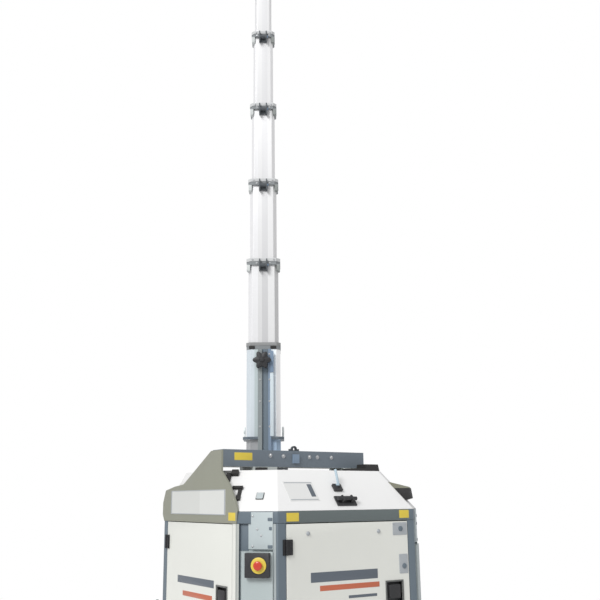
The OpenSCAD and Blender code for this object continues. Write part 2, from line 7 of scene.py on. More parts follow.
import bpy
import numpy as np
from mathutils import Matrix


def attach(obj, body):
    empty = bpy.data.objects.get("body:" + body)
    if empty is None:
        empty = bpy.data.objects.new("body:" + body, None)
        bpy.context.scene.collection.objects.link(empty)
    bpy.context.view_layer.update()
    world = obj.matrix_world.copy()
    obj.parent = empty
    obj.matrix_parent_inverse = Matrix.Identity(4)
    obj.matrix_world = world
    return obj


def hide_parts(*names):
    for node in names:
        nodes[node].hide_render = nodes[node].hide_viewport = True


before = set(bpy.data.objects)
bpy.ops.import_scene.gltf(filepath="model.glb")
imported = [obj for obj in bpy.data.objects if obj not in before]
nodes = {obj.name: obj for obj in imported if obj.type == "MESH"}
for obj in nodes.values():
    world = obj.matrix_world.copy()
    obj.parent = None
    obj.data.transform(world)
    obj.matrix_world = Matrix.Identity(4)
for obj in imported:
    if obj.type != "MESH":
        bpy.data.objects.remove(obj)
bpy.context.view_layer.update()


# ---------------------------------------------------------------------------------------------
# Studio: the photographer stands before the chamfer between the front and the left door, at
# chest height, and looks a little up. White backdrop, one broad soft key from the left.
view_from = math.radians(-32.429)
view_distance, view_height = 4.915, 1.3842
look_up, camera_roll = math.radians(13.718), math.radians(-0.488)
picture_px, focal_px, middle_px = 600, 813.12, 287.195

out_of_view = np.array([math.sin(view_from), -math.cos(view_from), 0.0])
camera_at = out_of_view * view_distance + [0, 0, view_height]
ahead = -out_of_view * math.cos(look_up) + np.array([0, 0, math.sin(look_up)])
level = np.array([math.cos(view_from), math.sin(view_from), 0.0])
upright = np.cross(level, ahead)
to_right = math.cos(camera_roll) * level + math.sin(camera_roll) * upright
to_top = math.cos(camera_roll) * upright - math.sin(camera_roll) * level

lens = bpy.data.cameras.new("photo_camera")
lens.sensor_width = 36
lens.lens = focal_px / picture_px * lens.sensor_width
lens.shift_x = (picture_px / 2 - middle_px) / picture_px
lens.clip_end = 200
camera = bpy.data.objects.new("photo_camera", lens)
turned_camera = np.eye(4)
turned_camera[:3, :3] = np.stack([to_right, to_top, -ahead], axis=1)
turned_camera[:3, 3] = camera_at
camera.matrix_world = turned_camera.T.tolist()
bpy.context.scene.collection.objects.link(camera)
bpy.context.scene.camera = camera
bpy.context.scene.view_settings.view_transform = "Standard"

key_light = bpy.data.lights.new("key", "SUN")
key_light.energy = 1.95
key_light.angle = math.radians(24)
key = bpy.data.objects.new("key", key_light)
key_from = np.array([-0.735, -0.343, 0.587])
key_side = np.cross([0, 0, 1], key_from)
key_side /= np.linalg.norm(key_side)
turned_key = np.eye(4)
turned_key[:3, :3] = np.stack([key_side, np.cross(key_from, key_side), key_from], axis=1)
key.matrix_world = turned_key.T.tolist()
bpy.context.scene.collection.objects.link(key)

# The backdrop is white to the eye and softer as a light, a little brighter from above
backdrop = bpy.data.worlds.new("backdrop")
backdrop.use_nodes = True
sky = backdrop.node_tree
sky.nodes.clear()
glow, paper = (sky.nodes.new("ShaderNodeBackground") for _ in range(2))
paper.inputs["Strength"].default_value = 1.0
glow.inputs["Strength"].default_value = 1.0
sky_place = sky.nodes.new("ShaderNodeTexCoord")
sky_height = sky.nodes.new("ShaderNodeSeparateXYZ")
sky_ramp = sky.nodes.new("ShaderNodeValToRGB")
for stop, (at, grey) in zip([sky_ramp.color_ramp.elements[0], sky_ramp.color_ramp.elements.new(0.5),
                             sky_ramp.color_ramp.elements[-1]], [(0, 0.42), (0.5, 0.56), (1, 0.74)]):
    stop.position, stop.color = at, (grey, grey, grey * 1.015, 1)
sky_share = sky.nodes.new("ShaderNodeMapRange")
sky_share.inputs["From Min"].default_value = -1
chooser, seen = sky.nodes.new("ShaderNodeMixShader"), sky.nodes.new("ShaderNodeLightPath")
sky_out = sky.nodes.new("ShaderNodeOutputWorld")
for start, end in [(sky_place.outputs["Generated"], sky_height.inputs[0]),
                   (sky_height.outputs["Z"], sky_share.inputs["Value"]),
                   (sky_share.outputs[0], sky_ramp.inputs[0]), (sky_ramp.outputs[0], glow.inputs[0]),
                   (seen.outputs["Is Camera Ray"], chooser.inputs[0]), (glow.outputs[0], chooser.inputs[1]),
                   (paper.outputs[0], chooser.inputs[2]), (chooser.outputs[0], sky_out.inputs[0])]:
    sky.links.new(start, end)
paper.inputs["Color"].default_value = (1, 1, 1, 1)
bpy.context.scene.world = backdrop


# ---------------------------------------------------------------------------------------------
# Skid base: octagonal frame of folded channel with the fork pockets and arm sleeves welded in,
# and the floor plate on it. All are blasted and powder coated dark grey, dusty low down.
class Wire:
    """One output of a paint's nodes. Sums written with it add Math nodes to the same paint."""

    def __init__(self, paint, socket):
        self.paint, self.socket = paint, socket

    def math(self, operation, *values):
        return self.paint.add("ShaderNodeMath", {"operation": operation}, values)

    def __add__(self, other):
        return self.math("ADD", self, other)

    def __sub__(self, other):
        return self.math("SUBTRACT", self, other)

    def __rsub__(self, other):
        return self.math("SUBTRACT", other, self)

    def __abs__(self):
        return self.math("ABSOLUTE", self)

    def __mul__(self, other):
        return self.math("MULTIPLY", self, other)

    __radd__, __rmul__ = __add__, __mul__

    def step(self, edge, width):
        """0 below edge, 1 above edge + width, straight between."""
        return self.paint.add("ShaderNodeClamp", {}, [(self - edge) * (1 / width)])

    def band(self, low, high, soft):
        """1 between low and high, 0 outside, over soft edges."""
        return self.step(low - soft, soft) * (1 - self.step(high, soft))


class Paint:
    def __init__(self, name):
        self.material = bpy.data.materials.new(name)
        self.material.use_nodes = True
        self.tree = self.material.node_tree
        self.tree.nodes.clear()
        self.shader = self.tree.nodes.new("ShaderNodeBsdfPrincipled")
        self.tree.links.new(self.shader.outputs[0],
                            self.tree.nodes.new("ShaderNodeOutputMaterial").inputs[0])
        self.place = self.add("ShaderNodeTexCoord", {}, {}, "Object")
        self.x, self.y, self.z = (self.add("ShaderNodeSeparateXYZ", {}, [self.place], k) for k in range(3))

    def join(self, value, socket):
        if isinstance(value, Wire):
            self.tree.links.new(value.socket, socket)
        else:
            socket.default_value = value

    def add(self, kind, settings=None, values=(), out=0):
        node = self.tree.nodes.new(kind)
        for name, value in (settings or {}).items():
            setattr(node, name, value)
        for name, value in values.items() if isinstance(values, dict) else enumerate(values):
            self.join(value, node.inputs[name])
        return Wire(self, node.outputs[out])

    def noise(self, scale, detail=3, stretch=(1, 1, 1)):
        """Cloudy pattern around 0.5, finer with scale, drawn out along an axis by a small stretch."""
        place = self.add("ShaderNodeMapping", {}, {"Vector": self.place, "Scale": stretch})
        return self.add("ShaderNodeTexNoise", {}, {"Vector": place, "Scale": scale, "Detail": detail}, "Fac")

    def mix(self, factor, first, second):
        """Colour that goes from first to second with factor."""
        first, second = ((*c, 1) if isinstance(c, tuple) else c for c in (first, second))
        return self.add("ShaderNodeMix", {"data_type": "RGBA"}, {0: factor, 6: first, 7: second}, 2)

    def bump(self, height, depth):
        """Normal of a relief whose height goes from 0 to 1 over depth metres."""
        return self.add("ShaderNodeBump", {}, {"Height": height, "Distance": depth, "Strength": 1.0}, 0)

    def over(self, mask, colour):
        """Lays a colour over the base colour where the mask is 1, and keeps what is under it."""
        below = self.shader.inputs["Base Color"].links[0].from_socket
        self.join(self.mix(mask, Wire(self, below), colour), self.shader.inputs["Base Color"])
        return self

    def finish(self, **looks):
        for name, value in looks.items():
            socket = self.shader.inputs[name.replace("_", " ")]
            self.join((*value, 1) if isinstance(value, tuple) else value, socket)
        return self


def powder_coat(name, colour, shine=0.42, dust=0.35, clouds=0.08):
    """Baked coat: slight clouds in its tone, orange-peel relief, drip streaks, dust low down."""
    paint = Paint(name)
    dark = tuple(c * (1 - clouds) for c in colour)
    light = tuple(min(1, c * (1 + clouds)) for c in colour)
    coat = paint.mix(paint.noise(2.2, 4), dark, light)
    streaks = paint.noise(9, 3, (1, 1, 0.07))
    low_down = (1 - paint.z.step(0.02, 0.42)) * paint.noise(7, 4).step(0.36, 0.3)
    coat = paint.mix(low_down * dust, coat, (0.42, 0.40, 0.36))
    return paint.finish(Base_Color=coat, Roughness=shine + (streaks - 0.5) * 0.22 + low_down * 0.25,
                        Normal=paint.bump(paint.noise(420, 2), 0.00035), Coat_Weight=0.12)


def dress(paint, *names):
    """Gives CAD nodes their paint in their own material slots."""
    for name in names:
        for slot in nodes[name].material_slots:
            slot.material = paint.material


skid_coat = powder_coat("skid_grey_coat", (0.055, 0.062, 0.070), dust=0.32)
dress(skid_coat, "skid_frame", "skid_tubes", "floor_plate")


# ---------------------------------------------------------------------------------------------
# Corner posts and top rail: folded sheet steel, powder coated slate grey, with the rolled edges
# of the press brake. The rail is a shade greener than the posts.
def rounded(node, name, width, body, paint, segments=3, angle=25):
    """A copy of a CAD node with its loose triangles merged and its edges rolled to width."""
    mesh = nodes[node].data.copy()
    copy = bpy.data.objects.new(name, mesh)
    bpy.context.scene.collection.objects.link(copy)
    mesh.materials.clear()
    mesh.materials.append(paint.material)
    for kind, settings in (("WELD", {"merge_threshold": 1e-5}),
                           ("DECIMATE", {"decimate_type": "DISSOLVE", "angle_limit": math.radians(1)}),
                           ("BEVEL", {"width": width, "segments": segments, "limit_method": "ANGLE",
                                      "angle_limit": math.radians(angle), "harden_normals": True}),
                           ("TRIANGULATE", {"keep_custom_normals": True})):
        step = copy.modifiers.new(kind.lower(), kind)
        for key_name, value in settings.items():
            setattr(step, key_name, value)
    mesh.shade_smooth()
    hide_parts(node)
    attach(copy, body)
    return copy


post_coat = powder_coat("post_coat", (0.125, 0.160, 0.190))
rail_coat = powder_coat("rail_coat", (0.120, 0.145, 0.145))
corner_tone = rail_coat.over(abs(rail_coat.x).step(0.395, 0.001) * abs(rail_coat.y).step(0.395, 0.001),
                             (0.125, 0.160, 0.190))
rounded("corner_posts", "folded_posts", 0.003, "chassis", post_coat)
rounded("top_frame", "folded_rail", 0.004, "chassis", rail_coat)


# ---------------------------------------------------------------------------------------------
# Corner covers: pale blue-grey folded covers on the chamfers, the upper one proud of the lower,
# held by small round-headed screws at their edges.
half, corner_leg = 0.590, 0.150
corner_off = (2 * half - corner_leg) / math.sqrt(2)
rail_top, hood_top = 1.323, 1.532
hood_set, hood_corner_set = 0.170, 0.192


def spot(side, out, at):
    """Place of a flat shape: its X goes along side, its Z along out, its Y along out x side."""
    side, out = np.array(side, float), np.array(out, float)
    side, out = side / np.linalg.norm(side), out / np.linalg.norm(out)
    return np.stack([side, np.cross(out, side), out]), np.array(at, float)


def about(angle, x, y):
    """A point or direction of the front face, taken to another face by a turn about Z."""
    return np.array([x * math.cos(angle) - y * math.sin(angle), x * math.sin(angle) + y * math.cos(angle)])


def on_face(i, x, z, out=0.0):
    """Spot on side i: 0 front, 1 right, 2 back, 3 left, x to its right, out in front of it."""
    turn = i * math.pi / 2
    side, outward = about(turn, 1, 0), about(turn, 0, -1)
    return spot((*side, 0), (*outward, 0), (*(side * x + outward * (half + out)), z))


def on_corner(i, x, z, out=0.0):
    """Spot on a chamfer: 0 is between front and left, and x grows towards the front or right."""
    turn = i * math.pi / 2 - math.pi / 4
    side, outward = about(turn, 1, 0), about(turn, 0, -1)
    return spot((*side, 0), (*outward, 0), (*(side * x + outward * (corner_off + out)), z))


def moved(shape, place):
    """The shape's points p become p . axes + origin."""
    points, faces = shape
    axes, origin = place
    return points @ axes + origin, faces


def joined(shapes):
    """Several shapes as one, their face numbers shifted by the points that come before."""
    points, faces, before = [], [], 0
    for some_points, some_faces in shapes:
        points.append(some_points)
        faces += [tuple(v + before for v in face) for face in some_faces]
        before += len(some_points)
    return np.concatenate(points), faces


def strip_faces(rings, around):
    """Quads between rings of points, ring k holding points k * around to (k + 1) * around - 1."""
    ring, step = np.meshgrid(np.arange(rings - 1), np.arange(around), indexing="ij")
    after = (step + 1) % around
    quads = np.stack([ring * around + step, ring * around + after,
                      (ring + 1) * around + after, (ring + 1) * around + step], -1)
    return [tuple(q) for q in quads.reshape(-1, 4).tolist()]


def turned(profile, sides=24):
    """Lathe shape: each (radius, height) of the profile, bottom to top, goes round Z."""
    profile = np.array(profile, float)
    angle = np.linspace(0, 2 * math.pi, sides, endpoint=False)
    around = np.stack([np.cos(angle), np.sin(angle), np.ones(sides)])
    points = (profile[:, None, [0, 0, 1]] * around.T[None]).reshape(-1, 3)
    faces = strip_faces(len(profile), sides)
    last = (len(profile) - 1) * sides
    return points, faces + [tuple(reversed(range(sides))), tuple(range(last, last + sides))]


def slab(width, height, thick, corner=0.003, edge=0.001, low=0.0):
    """Flat plate with round corners and rolled front edges. Each ring is the rounded rectangle
    drawn in by an inset d: its corner arcs keep their middles and have radius corner - d."""
    edge = min(edge, corner * 0.98, thick * 0.98)
    arc = np.linspace(0, math.pi / 2, 5)
    quarter = np.concatenate([arc + q * math.pi / 2 for q in range(4)])
    signs = np.repeat([[1, 1], [-1, 1], [-1, -1], [1, -1]], len(arc), axis=0)
    middles = signs * [width / 2 - corner, height / 2 - corner]
    roll = np.linspace(0, math.pi / 2, 4)
    insets = np.concatenate([[0], edge * (1 - np.cos(roll))])
    heights = np.concatenate([[low], thick - edge * (1 - np.sin(roll))])
    ring = np.stack([np.cos(quarter), np.sin(quarter)], -1)
    flat = middles[None] + ring[None] * (corner - insets)[:, None, None]
    points = np.concatenate([flat, np.broadcast_to(heights[:, None, None], (*flat.shape[:2], 1))], -1)
    around, last = len(quarter), (len(insets) - 1) * len(quarter)
    return points.reshape(-1, 3), (strip_faces(len(insets), around)
                                   + [tuple(reversed(range(around))), tuple(range(last, last + around))])


def piece(name, shape, paint, body, smooth=38):
    """Puts a shape into a mesh object that rides on a body."""
    points, faces = shape
    mesh = bpy.data.meshes.new(name)
    mesh.from_pydata(points.tolist(), [], faces)
    mesh.materials.append(paint.material)
    mesh.shade_smooth()
    mesh.set_sharp_from_angle(angle=math.radians(smooth))
    made = bpy.data.objects.new(name, mesh)
    bpy.context.scene.collection.objects.link(made)
    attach(made, body)
    return made


def screw(radius):
    """Round screw head, a low dome."""
    return turned([(radius, 0), (radius, radius * 0.25), (radius * 0.8, radius * 0.5),
                   (radius * 0.4, radius * 0.66), (radius * 0.05, radius * 0.7)], 12)


def bolt(radius):
    """Hexagon head on its washer: six flats over a round plate."""
    return joined([turned([(radius * 1.45, 0), (radius * 1.45, radius * 0.2)], 16),
                   turned([(radius, 0.1 * radius), (radius, radius * 0.8), (radius * 0.86, radius * 0.95)], 6)])


cover_coat = powder_coat("cover_coat", (0.475, 0.535, 0.545), shine=0.38, clouds=0.04)
cover_coat.over(1 - cover_coat.z.step(1.1305, 0.001), (0.400, 0.455, 0.455))
rounded("corner_covers", "folded_covers", 0.003, "chassis", cover_coat)

slot_panel = slab(0.046, 0.128, 0.0020, 0.002, 0.0008)
piece("slot_panels", joined([moved(slot_panel, on_corner(i, -0.0705, 1.197, -0.0175)) for i in range(4)]),
      post_coat, "chassis")
clips = [moved(slab(w, 0.016, 0.0022, 0.003, 0.0010), on_corner(i, x, z, 0.003)) for i in range(4)
         for x, z, w in ((0.066, 1.284, 0.024), (0.068, 1.240, 0.014), (0.066, 1.153, 0.024))]
piece("cover_clips", joined(clips), post_coat, "chassis")
trim_coat = powder_coat("trim_coat", (0.41, 0.43, 0.405), shine=0.4, clouds=0.03)
edge_white = powder_coat("edge_white", (0.720, 0.727, 0.678), shine=0.36, clouds=0.03)
piece("light_edge", moved(slab(0.033, 1.080, 0.0012, 0.001, 0.0005), on_face(3, 0.4125, 0.722)), edge_white,
      "chassis")
piece("light_trim", joined([moved(slab(0.010, 1.080, 0.0012, 0.001, 0.0005), on_face(3, 0.4345, 0.722)),
                            moved(slab(0.011, 1.080, 0.0012, 0.001, 0.0005), on_corner(0, -0.1000, 0.722))]),
      trim_coat, "chassis")
wing_coat = powder_coat("wing_coat", (0.355, 0.395, 0.40), shine=0.4, clouds=0.03)
piece("wing_trim", joined([moved(slab(0.014, 1.080, 0.0012, 0.001, 0.0005), on_corner(i, 0.0885, 0.722))
                           for i in range(4)]), wing_coat, "chassis")

zinc = Paint("zinc_plate")
zinc.finish(Base_Color=zinc.mix(zinc.noise(60, 3), (0.46, 0.47, 0.48), (0.66, 0.67, 0.68)),
            Metallic=1.0, Roughness=0.34 + zinc.noise(140, 2) * 0.12)
cover_screws = []
for corner in range(4):
    for x, z in ((-0.024, 1.30), (-0.024, 1.155), (0.000, 1.236), (0.020, 1.206)):
        cover_screws.append(moved(screw(0.0055), on_corner(corner, x, z, 0.003)))
    for z in (0.80, 0.50, 0.22):
        for x in (-0.070, 0.071):
            cover_screws.append(moved(screw(0.0055), on_corner(corner, x, z, 0.010)))
piece("cover_screws", joined(cover_screws), zinc, "chassis")


# ---------------------------------------------------------------------------------------------
# Emergency stop: moulded black box on the front left chamfer, a yellow field round the red
# mushroom button, which is turned to release.
stop_x, stop_z, stop_out = 0.017, 1.067, 0.040
black_plastic = Paint("black_plastic")
black_plastic.finish(Base_Color=black_plastic.mix(black_plastic.noise(5, 3), (0.018, 0.018, 0.020),
                                                  (0.034, 0.034, 0.036)),
                     Roughness=0.42 + black_plastic.noise(30, 3) * 0.16,
                     Normal=black_plastic.bump(black_plastic.noise(900, 2), 0.0002))
rounded("stop_box", "stop_housing", 0.004, "chassis", black_plastic)

sign_yellow = Paint("sign_yellow")
sign_yellow.finish(Base_Color=sign_yellow.mix(sign_yellow.noise(14, 3), (0.66, 0.50, 0.055), (0.74, 0.58, 0.075)),
                   Roughness=0.38 + sign_yellow.noise(50, 2) * 0.1)
piece("stop_field", moved(turned([(0.0385, -0.0045), (0.0385, 0.0006), (0.0375, 0.0012), (0.014, 0.0012)], 48),
                          on_corner(0, stop_x, stop_z, stop_out + 0.004)), sign_yellow, "chassis")
button_red = Paint("button_red")
button_red.finish(Base_Color=button_red.mix(button_red.noise(20, 2), (0.52, 0.035, 0.018), (0.60, 0.05, 0.026)),
                  Roughness=0.28 + button_red.noise(90, 2) * 0.08, Coat_Weight=0.3)
mushroom = [(0.0125, 0.0), (0.0125, 0.010), (0.0195, 0.0115), (0.0218, 0.0145), (0.0222, 0.0165),
            (0.0215, 0.0190), (0.0190, 0.0208), (0.0140, 0.0219), (0.0070, 0.0224), (0.0005, 0.0226)]
button = piece("mushroom_button", moved(turned(mushroom, 40), on_corner(0, stop_x, stop_z, stop_out + 0.004)),
               button_red, "chassis")
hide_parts("stop_button")


# ---------------------------------------------------------------------------------------------
# Power outlets on the back right chamfer: a grey moulded box with two hinged round lids.
rounded("socket_box", "outlet_box", 0.004, "chassis", black_plastic)
outlet_z, outlet_lid = 0.930 + 0.065, 0.048
lids = [moved(turned([(0.029, 0), (0.029, 0.004), (0.026, 0.0065), (0.008, 0.0075), (0.0005, 0.0076)], 32),
              on_corner(2, x, outlet_z, 0.010 + outlet_lid)) for x in (-0.034, 0.034)]
lids += [moved(slab(0.020, 0.012, 0.010, 0.004, 0.002), on_corner(2, x, outlet_z + 0.034, 0.010 + outlet_lid - 0.006))
         for x in (-0.034, 0.034)]
piece("outlet_lids", joined(lids), black_plastic, "chassis")


# ---------------------------------------------------------------------------------------------
# Doors: hollow doors of white coated sheet with rolled edges, on two black hinges each. A black
# latch with a paddle is let in at the right. The front and left ones carry plain stripes.
door_coat = powder_coat("door_coat", (0.720, 0.727, 0.678), shine=0.34, dust=0.22, clouds=0.025)
across, along = abs(door_coat.x), abs(door_coat.y)
outmost, inmost = across.math("MAXIMUM", across, along), across.math("MINIMUM", across, along)
knuckles = outmost.step(0.5908, 0.0004) * inmost.step(0.352, 0.001)
latch_side = (along - across) * door_coat.x * door_coat.y
latch_zone = inmost.band(0.2255, 0.3485, 0.0004) * door_coat.z.band(0.7905, 0.9575, 0.0004) \
    * (1 - latch_side.step(-0.0002, 0.0001))
door_coat.over(knuckles, (0.012, 0.012, 0.014)).over(latch_zone * outmost.step(0.5903, 0.0003), (0.115, 0.120, 0.115))
door_coat.over(latch_zone * outmost.band(0.5655, 0.5893, 0.0003), (0.022, 0.022, 0.022))
hinge_coat = powder_coat("hinge_coat", (0.012, 0.012, 0.014), shine=0.5, dust=0.1)
sides = ("front", "right", "back", "left")
latch_x, latch_z, latch_w, latch_h = 0.287, 0.874, 0.106, 0.150
hinge_x, hinge_z = -0.393, (0.322, 1.148)
for i, side in enumerate(sides):
    body = "door_" + side
    rounded(body, f"door_{side}_skin", 0.003, body, door_coat)
    pan = slab(latch_w + 0.012, latch_h + 0.012, 0.0052, 0.010, 0.003, low=0.0038)
    lining = slab(latch_w - 0.002, latch_h - 0.002, 0.0020, 0.008, 0.001)
    paddle = slab(0.076, 0.070, 0.0065, 0.010, 0.004, low=-0.004)
    handle = [moved(paddle, on_face(i, latch_x, latch_z + 0.027, 0.0)),
              moved(turned([(0.011, -0.004), (0.011, 0.006), (0.009, 0.008), (0.0005, 0.0082)], 20),
                    on_face(i, latch_x, latch_z - 0.038, -0.017))]
    piece(f"latch_{side}", joined([moved(lining, on_face(i, latch_x, latch_z, -0.0225)), *handle]), black_plastic,
          body)
    leaves = [moved(slab(0.0275, 0.075, 0.0016, 0.004, 0.0010), on_face(i, hinge_x + 0.0208, z, 0.008))
              for z in hinge_z]
    screws = [moved(screw(0.0045), on_face(i, hinge_x + 0.0225, z + dz, 0.0094)) for z in hinge_z
              for dz in (-0.026, 0.0, 0.026)]
    piece(f"hinge_leaf_{side}", joined(leaves + screws), hinge_coat, body)
dress(hinge_coat, "hinge_leaves")

# Dark sheets of painted shade in the openings under the pressed louvre blades of the right and the back door, reaching
# a little below each blade's lip as a painted shadow line
louvre_painted_shade = powder_coat("louvre_painted_shade", (0.030, 0.031, 0.030), shine=0.6, dust=0.2)
louvre_pitch, louvre_low = 0.044, 0.989
for i in (1, 2):
    gaps = [moved(slab(0.252, 0.030, 0.0006, 0.002, 0.0003), on_face(i, x, louvre_low + louvre_pitch * k + 0.010))
            for x in (-0.170, 0.170) for k in range(5)]
    piece(f"louvre_shade_sheets_{sides[i]}", joined(gaps), louvre_painted_shade, "door_" + sides[i])

stripe_slate = powder_coat("stripe_slate", (0.105, 0.125, 0.150), shine=0.3, dust=0.1)
stripe_orange = powder_coat("stripe_orange", (0.50, 0.13, 0.065), shine=0.3, dust=0.1)
plate_grey = powder_coat("plate_grey", (0.375, 0.40, 0.42), shine=0.36)
piece("slate_line_front", moved(slab(0.184, 0.014, 0.0006, 0.002, 0.0003), on_face(0, 0.076, 0.892)),
      stripe_slate, "door_front")
for i, (slate_x, slate_z, slate_w, slate_h), (orange_x, orange_z, orange_w) in (
        (0, (-0.036, 0.997, 0.425, 0.048), (-0.004, 0.943, 0.380)),
        (3, (-0.022, 0.955, 0.440, 0.038), (0.003, 0.884, 0.352))):
    body = "door_" + sides[i]
    piece(f"slate_stripe_{sides[i]}", moved(slab(slate_w, slate_h, 0.0006, 0.002, 0.0003),
                                            on_face(i, slate_x, slate_z)), stripe_slate, body)
    piece(f"orange_stripe_{sides[i]}", moved(slab(orange_w, 0.026, 0.0006, 0.002, 0.0003),
                                             on_face(i, orange_x, orange_z)), stripe_orange, body)
for k, (x, z, w, h) in enumerate(((0.338, 1.220, 0.098, 0.066), (0.356, 1.038, 0.060, 0.100))):
    piece(f"blank_plate_{k}", joined([moved(slab(w, h, 0.0014, 0.004, 0.0006), on_face(0, x, z)),
                                      *[moved(screw(0.0035), on_face(0, x + sx * (w / 2 - 0.008),
                                                                     z + sz * (h / 2 - 0.008), 0.0014))
                                        for sx in (-1, 1) for sz in (-1, 1)]]),
          plate_grey, "door_front")
    piece(f"plate_boss_{k}", moved(turned([(0.014, 0), (0.014, 0.003), (0.012, 0.0045), (0.0005, 0.005)], 24),
                                   on_face(0, x + 0.004, z - 0.012 * k, 0.0014)), post_coat,
          "door_front")
piece("door_studs", joined([moved(screw(0.011), on_face(0, x, 1.211)) for x in (-0.262, 0.191)]), plate_grey,
      "door_front")


# ---------------------------------------------------------------------------------------------
# Hood: one white moulded shell in glass-fibre resin with soft corners, screwed on the top rail.
def on_slope(i, x, share, out=0.0, corner=False):
    """Spot on a facet of the hood: share goes from its lower edge, 0, to its upper edge, 1."""
    turn = i * math.pi / 2 - (math.pi / 4 if corner else 0)
    start, back = (corner_off, hood_corner_set) if corner else (half, hood_set)
    rise = hood_top - rail_top
    side, outward = about(turn, 1, 0), about(turn, 0, -1)
    normal = np.array([*(outward * rise), back]) / math.hypot(rise, back)
    at = np.array([*(side * x + outward * (start - back * share)), rail_top + rise * share])
    return spot((*side, 0), normal, at + normal * out)


hood_gloss = Paint("hood_gloss")
hood_gloss.finish(Base_Color=hood_gloss.mix(hood_gloss.noise(1.8, 4), (0.80, 0.80, 0.79), (0.86, 0.86, 0.85)),
                  Roughness=0.30 + hood_gloss.noise(6, 3) * 0.12, Coat_Weight=0.25,
                  Normal=hood_gloss.bump(hood_gloss.noise(9, 2), 0.0012))
rounded("hood", "hood_shell", 0.016, "chassis", hood_gloss, segments=5, angle=15)
hood_screws = [moved(screw(0.0060), on_slope(i, x, 0.11)) for i in (1, 2) for x in np.linspace(-0.36, 0.36, 5)]
hood_screws += [moved(screw(0.0060), on_slope(i, x, 0.10, corner=True)) for i in (2, 3) for x in (-0.07, 0.07)]
piece("hood_screws", joined(hood_screws), zinc, "chassis")


# ---------------------------------------------------------------------------------------------
# Grey end plate over the left rail, bent sheet that ends under the lifting beam. A blank white
# plate is riveted on it, and another on the front slope of the hood.
end_coat = powder_coat("end_coat", (0.262, 0.267, 0.214), shine=0.45, clouds=0.05)
rounded("end_plate", "end_plate_sheet", 0.0025, "chassis", end_coat)
plate_white = powder_coat("plate_white_coat", (0.735, 0.74, 0.725), shine=0.4, clouds=0.02)
on_end = 1 - plate_white.x.step(-0.5930, 0.001)
plate_white.over(on_end, (0.665, 0.675, 0.650)).over(on_end * plate_white.y.step(-0.030, 0.001), (0.615, 0.625, 0.600))
dress(plate_white, "blank_plates")
rims = []
end_out = 0.006
for x, z, w, h in ((-0.0075, 1.4305, 0.665, 0.004), (-0.0075, 1.3055, 0.665, 0.004), (-0.3345, 1.368, 0.011, 0.121),
                   (0.3195, 1.368, 0.011, 0.121)):
    rims.append(moved(slab(w, h, 0.0006, 0.001, 0.0003), on_face(3, x, z, end_out)))
for share in (0.26, 0.67):
    rims.append(moved(slab(0.170, 0.005, 0.0006, 0.001, 0.0003), on_slope(0, -0.249, share, 0.002)))
piece("plate_rims", joined(rims), plate_grey, "chassis")
piece("plate_field", moved(slab(0.028, 0.082, 0.0008, 0.003, 0.0004), on_slope(0, -0.184, 0.48, 0.002)),
      stripe_slate, "chassis")


# ---------------------------------------------------------------------------------------------
# Blank yellow stickers on the rails and the lifting beam.
piece("sticker_front_left", moved(slab(0.074, 0.042, 0.0005, 0.002, 0.0002), on_face(0, -0.353, 1.293)),
      sign_yellow, "chassis")
piece("sticker_front_right", moved(slab(0.068, 0.042, 0.0005, 0.002, 0.0002), on_face(0, 0.373, 1.297)),
      sign_yellow, "chassis")
piece("sticker_left", moved(slab(0.074, 0.040, 0.0005, 0.002, 0.0002), on_face(3, 0.394, 1.297, 0.004)),
      sign_yellow, "chassis")


# ---------------------------------------------------------------------------------------------
# Lifting beam: square tube across the hood with a closed end, bolted through feet to the frame
# inside. The shackle's lug is welded on top.
beam_front, beam_low, beam_high = -0.273, 1.552, 1.642
beam_coat = powder_coat("beam_coat", (0.145, 0.175, 0.205), dust=0.0)
# The underside of the tube is painted pale: painted light on one coat
beam_coat.over(1 - beam_coat.z.step(beam_low, 0.001), (0.42, 0.45, 0.44))
beam_coat.over(beam_coat.z.step(beam_high + 0.0005, 0.0005), (0.055, 0.065, 0.075))
beam_coat.over(beam_coat.x.band(-0.150, -0.107, 0.001) * (1 - beam_coat.y.step(-0.2745, 0.001)),
               (0.20, 0.27, 0.36))
rounded("lifting_beam", "beam_tube", 0.006, "chassis", beam_coat)
facing = spot((1, 0, 0), (0, -1, 0), (0, beam_front, 0))
beam_bolts = [moved(bolt(0.008), (facing[0], np.array([x, beam_front, z])))
              for x, z in ((-0.291, 1.614), (-0.207, 1.612), (-0.034, 1.610), (0.020, 1.610), (0.117, 1.610))]
piece("beam_bolts", joined(beam_bolts), zinc, "chassis")
piece("sticker_beam", moved(slab(0.110, 0.040, 0.0005, 0.002, 0.0002),
                            (facing[0], np.array([-0.460, beam_front, 1.606]))), sign_yellow, "chassis")


# ---------------------------------------------------------------------------------------------
# Valve lever on the front slope, and the rubber strap latch, stops, pads and moulded covers.
rubber = Paint("black_rubber")
rubber.finish(Base_Color=rubber.mix(rubber.noise(12, 4), (0.014, 0.014, 0.014), (0.032, 0.031, 0.030)),
              Roughness=0.62 + rubber.noise(40, 3) * 0.2, Normal=rubber.bump(rubber.noise(700, 3), 0.0004))
